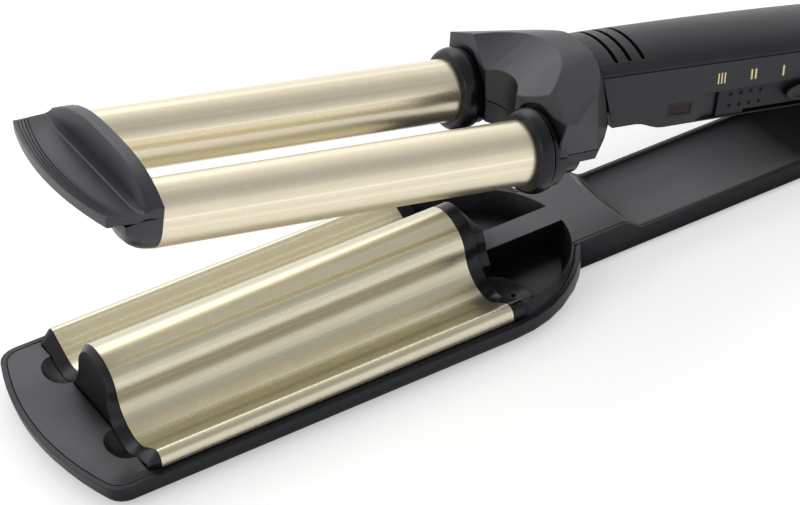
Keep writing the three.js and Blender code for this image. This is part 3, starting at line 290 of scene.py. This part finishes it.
# The cover's gloss fades between these X values in metres towards the hinge, as painted shade
black_cover = plastic("black_plastic_cover", *BLACK, 0.40, shine=0.66, shade_towards_hinge=(0.198, 0.234),
                      reach=0.02)
black_shoulder = plastic("black_plastic_shoulder", *BLACK, 0.42, edge=0.0006, turn=OPEN,
                         shine=0.76, reach=0.014)
black_up = plastic("black_plastic_upper", *BLACK, 0.42, turn=OPEN, shine=0.47)
black_cap = plastic("black_plastic_cap", *BLACK, 0.38, edge=0.0002, turn=OPEN, shine=0.74,
                    reach=0.012, grooves=True)
track_black = plastic("black_track", *TRACK_BLACK, 0.46, turn=OPEN, shine=0.32)
soft_low = plastic("soft_black_lower", *SOFT_BLACK, 0.26, grain=0.000004, shine=0.34)
soft_up = plastic("soft_black_upper", *SOFT_BLACK, 0.26, grain=0.000004, turn=OPEN, shine=0.34)
gold_low = satin_metal("gold_plate", *PLATE_GOLD_SHADED, 0.29)
gold_up = satin_metal("gold_barrel", *BARREL_GOLD, 0.30, turn=OPEN)
mark_gold = satin_metal("gold_print", *MARK_GOLD, 0.42, turn=OPEN)
steel = plain_metal("steel", (0.56, 0.57, 0.58), 0.30)
ceramic = matt("ceramic", (0.66, 0.62, 0.53), (0.56, 0.52, 0.44), 0.7, 900)
board = matt("board", (0.012, 0.10, 0.045), (0.018, 0.13, 0.06), 0.45, 1400)
sleeve = matt("wire_sleeve", (0.32, 0.035, 0.025), (0.24, 0.025, 0.02), 0.5, 1200)
lens = lens_red("red_lens", (0.013, 0.003, 0.006), (0.026, 0.004, 0.009))

FINISH = {
    "lower_shell": black_low, "arm_cover": black_cover, "wave_plate": gold_low,
    "front_plate_holder": soft_low, "rear_plate_holder": soft_low, "plate_heater": ceramic,
    "heater_clamp": steel, "thermal_fuse": steel, "plate_lead": sleeve, "hinge_pin": steel,
    "torsion_spring": steel, "tip_cap": black_cap, "shoulder_top": black_shoulder,
    "shoulder_bottom": black_up, "handle_top_cover": black_up, "handle_lower_shell": black_up,
    "power_lens": lens, "indicator_lamp": ceramic, "control_board": board,
    "slide_switch_body": soft_up, "switch_track": track_black, "switch_slider": soft_up,
    "end_cap": black_up, "swivel_retainer": steel, "swivel_gland": soft_up,
}
for side in ("near", "far"):
    FINISH["barrel_" + side] = gold_up
    FINISH["barrel_heater_" + side] = ceramic
    FINISH["collar_" + side] = soft_up
    FINISH["barrel_lead_" + side] = sleeve
    FINISH["shoulder_screw_" + side] = steel
for name in nodes:
    if name.startswith(("arm_screw", "handle_screw")):
        FINISH[name] = steel

# Angle in degrees above which an edge stays sharp, and the nodes where it is another one
SHARP_ANGLE = 30
SHARP = {"shoulder_top": 9, "shoulder_bottom": 12, "tip_cap": 44}
# Nodes whose nearly flat faces are joined before shading, against streaks of thin triangles
FLATTENED = ("shoulder_top", "shoulder_bottom")
FLAT_ANGLE = 1.2
WELD_DISTANCE = 0.000002


def dress(name, node, material, angle):
    """Give a CAD node its material and smooth shading with sharp edges; its vertices stay."""
    mesh = node.data
    for stored in ("custom_normal", "sharp_face", "sharp_edge"):
        if stored in mesh.attributes:
            mesh.attributes.remove(mesh.attributes[stored])
    mesh.shade_smooth()
    mesh.materials.clear()
    mesh.materials.append(material)
    weld = node.modifiers.new("weld", "WELD")
    weld.merge_threshold = WELD_DISTANCE
    if name in FLATTENED:
        flat = node.modifiers.new("flat", "DECIMATE")
        flat.decimate_type = "DISSOLVE"
        flat.angle_limit = math.radians(FLAT_ANGLE)
    split = node.modifiers.new("split", "EDGE_SPLIT")
    split.split_angle = math.radians(angle)
    split.use_edge_sharp = False
    even = node.modifiers.new("even", "WEIGHTED_NORMAL")
    even.keep_sharp = True


for name, node in nodes.items():
    dress(name, node, FINISH[name], SHARP.get(name, SHARP_ANGLE))


# ---------------------------------------------------------------- pieces of the scene's own

def piece(name, build, material, body, bevel=0.0):
    """New mesh from a bmesh builder in the upper arm's own frame, riding on a body."""
    bm = bmesh.new()
    build(bm)
    for vertex in bm.verts:
        vertex.co = upper(*vertex.co)
    bmesh.ops.recalc_face_normals(bm, faces=bm.faces)
    mesh = bpy.data.meshes.new(name)
    bm.to_mesh(mesh)
    bm.free()
    item = bpy.data.objects.new(name, mesh)
    bpy.context.scene.collection.objects.link(item)
    mesh.materials.append(material)
    if bevel:
        edge = item.modifiers.new("edge", "BEVEL")
        edge.width = bevel
        edge.segments = 2
        edge.limit_method = "ANGLE"
        edge.harden_normals = True
        mesh.shade_smooth()
    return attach(item, body)


def block(bm, x0, x1, y0, y1, z0, z1):
    """Box in millimetres between two corners; its vertices."""
    made = bmesh.ops.create_cube(bm, size=1.0)["verts"]
    for v in made:
        v.co = Vector((
            x0 + (v.co.x + 0.5) * (x1 - x0),
            y0 + (v.co.y + 0.5) * (y1 - y0),
            z0 + (v.co.z + 0.5) * (z1 - z0),
        ))
    return made


# Near face of the side panel, across the arm, in millimetres
PANEL = -14.2
# Printed level marks on it: middle, bottom, top, number of bars, their pitch and their width
MARKS = {
    "mark_three": (75.1, 8.05, 11.7, 3, 1.15, 0.5),
    "mark_two": (87.0, 7.95, 11.35, 2, 1.5, 0.66),
    "mark_one": (98.2, 7.55, 11.05, 1, 0.0, 0.66),
}
# How far a bar's foot sits towards the cord, how far it stands out and how deep it starts
LEAN, MARK_PROUD, MARK_ROOT = 0.28, 0.03, 0.05


def bars(middle, low, high, count, pitch, width):
    def build(bm):
        for i in range(count):
            x = middle + (i - (count - 1) / 2) * pitch
            bar = block(bm, x - width / 2, x + width / 2, PANEL - MARK_PROUD, PANEL + MARK_ROOT,
                        low, high)
            for vertex in bar:
                if vertex.co.z < (low + high) / 2:
                    vertex.co.x += LEAN
    return build


for name, values in MARKS.items():
    piece(name, bars(*values), mark_gold, "upper_arm")

# Seal round the lamp window: outer edges, width, how far it stands out and how deep it starts
SEAL = (56.9, 65.7, -0.55, 3.65)
SEAL_WIDTH, SEAL_PROUD, SEAL_ROOT = 0.55, 0.06, 0.2


def window_frame(bm):
    """Thin dark seal round the lamp window."""
    left, right, low, high = SEAL
    out, root = PANEL - SEAL_PROUD, PANEL + SEAL_ROOT
    inner_low, inner_high = low + SEAL_WIDTH, high - SEAL_WIDTH
    block(bm, left, right, out, root, inner_high, high)
    block(bm, left, right, out, root, low, inner_low)
    block(bm, left, left + SEAL_WIDTH, out, root, inner_low, inner_high)
    block(bm, right - SEAL_WIDTH, right, out, root, inner_low, inner_high)


piece("lens_seal", window_frame, soft_up, "upper_arm", bevel=0.00005)


# ---------------------------------------------------------------- floor, light and camera

FLOOR_GLOW = 0.42


def floor_material():
    """Pale floor that shows almost white but still takes the object's shadow."""
    n = new_material("floor")
    soft = n.noise(n.place(), 3.0, 3.0)
    diffuse = n.add("ShaderNodeBsdfDiffuse")
    n.link(n.mix(soft, (0.83, 0.83, 0.835), (0.85, 0.85, 0.855)), diffuse.inputs["Color"])
    glow = n.add("ShaderNodeEmission")
    n.link(n.math("MULTIPLY", n.straight_rays(), FLOOR_GLOW), glow.inputs["Strength"])
    both = n.add("ShaderNodeAddShader")
    n.link(diffuse.outputs[0], both.inputs[0])
    n.link(glow.outputs[0], both.inputs[1])
    return n.finish(both)


bm = bmesh.new()
bmesh.ops.create_grid(bm, x_segments=4, y_segments=4, size=6.0)
mesh = bpy.data.meshes.new("floor")
bm.to_mesh(mesh)
bm.free()
floor = bpy.data.objects.new("floor", mesh)
floor.location = (0, 0, -0.0002)
mesh.materials.append(floor_material())
bpy.context.scene.collection.objects.link(floor)

# Light on the object from all round, and the grey that the camera and reflections meet, by the
# angle about the X axis: 0 at the near horizon, 0.5 overhead, 1 at the far horizon
FILL = 0.84
SKY = (
    (0.0, 1.0), (0.12, 1.0), (0.18, 0.66), (0.25, 0.50),
    (0.40, 0.50), (0.56, 0.66), (0.70, 1.06), (1.0, 1.06),
)


def studio_world():
    """Even fill light, with a sky of soft bands for whatever sees it straight."""
    n = Nodes(bpy.data.worlds.new("studio"))
    direction = n.add("ShaderNodeSeparateXYZ")
    n.link(n.add("ShaderNodeTexCoord").outputs["Generated"], direction.inputs[0])
    nearer = n.math("MULTIPLY", direction.outputs["Y"], -1.0)
    around = n.math("ARCTAN2", direction.outputs["Z"], nearer)
    sky = n.add("ShaderNodeValToRGB")
    n.link(n.math("DIVIDE", around, math.pi), sky.inputs[0])
    stops = sky.color_ramp.elements
    while len(stops) < len(SKY):
        stops.new(0.5)
    for stop, (position, level) in zip(stops, SKY):
        stop.position = position
        stop.color = (level, level, level, 1)
    fill = n.add("ShaderNodeBackground")
    fill.inputs["Strength"].default_value = FILL
    shown = n.add("ShaderNodeBackground")
    n.link(sky.outputs[0], shown.inputs["Color"])
    mixer = n.add("ShaderNodeMixShader")
    n.link(n.straight_rays(), mixer.inputs[0])
    n.link(fill.outputs[0], mixer.inputs[1])
    n.link(shown.outputs[0], mixer.inputs[2])
    return n.finish(mixer, "ShaderNodeOutputWorld")


bpy.context.scene.world = studio_world()


def softbox(name, place, target, width, height, watts):
    """Rectangular lamp that faces a point."""
    data = bpy.data.lights.new(name, "AREA")
    data.shape = "RECTANGLE"
    data.size, data.size_y = width, height
    data.energy = watts
    lamp = bpy.data.objects.new(name, data)
    lamp.location = place
    lamp.rotation_euler = (Vector(target) - Vector(place)).to_track_quat("-Z", "Y").to_euler()
    bpy.context.scene.collection.objects.link(lamp)


softbox("key", (0.16, 0.97, 0.86), (0.14, 0, 0.03), 1.2, 0.6, 2.9)
softbox("side", (-0.9, -0.5, 0.7), (0.1, 0, 0.04), 0.5, 0.5, 1.5)

# Camera solved from the photo: place, axes and lens
CAMERA = Vector((-0.243233, -0.679520, 0.548478))
FORWARD = Vector((0.3684612, 0.7332864, -0.5714258))
RIGHT = Vector((0.8630523, -0.4982657, -0.0828982))
UP = Vector((0.3455100, 0.4626256, 0.8164560))
LENS, SENSOR = 141.86, 36

data = bpy.data.cameras.new("camera")
data.sensor_width = SENSOR
data.sensor_fit = "HORIZONTAL"
data.lens = LENS
data.clip_start = 0.01
data.clip_end = 50
camera = bpy.data.objects.new("camera", data)
turn = Matrix((RIGHT, UP, -FORWARD)).transposed().to_4x4()
camera.matrix_world = Matrix.Translation(CAMERA) @ turn
bpy.context.scene.collection.objects.link(camera)
bpy.context.scene.camera = camera
bpy.context.scene.view_settings.view_transform = "Standard"
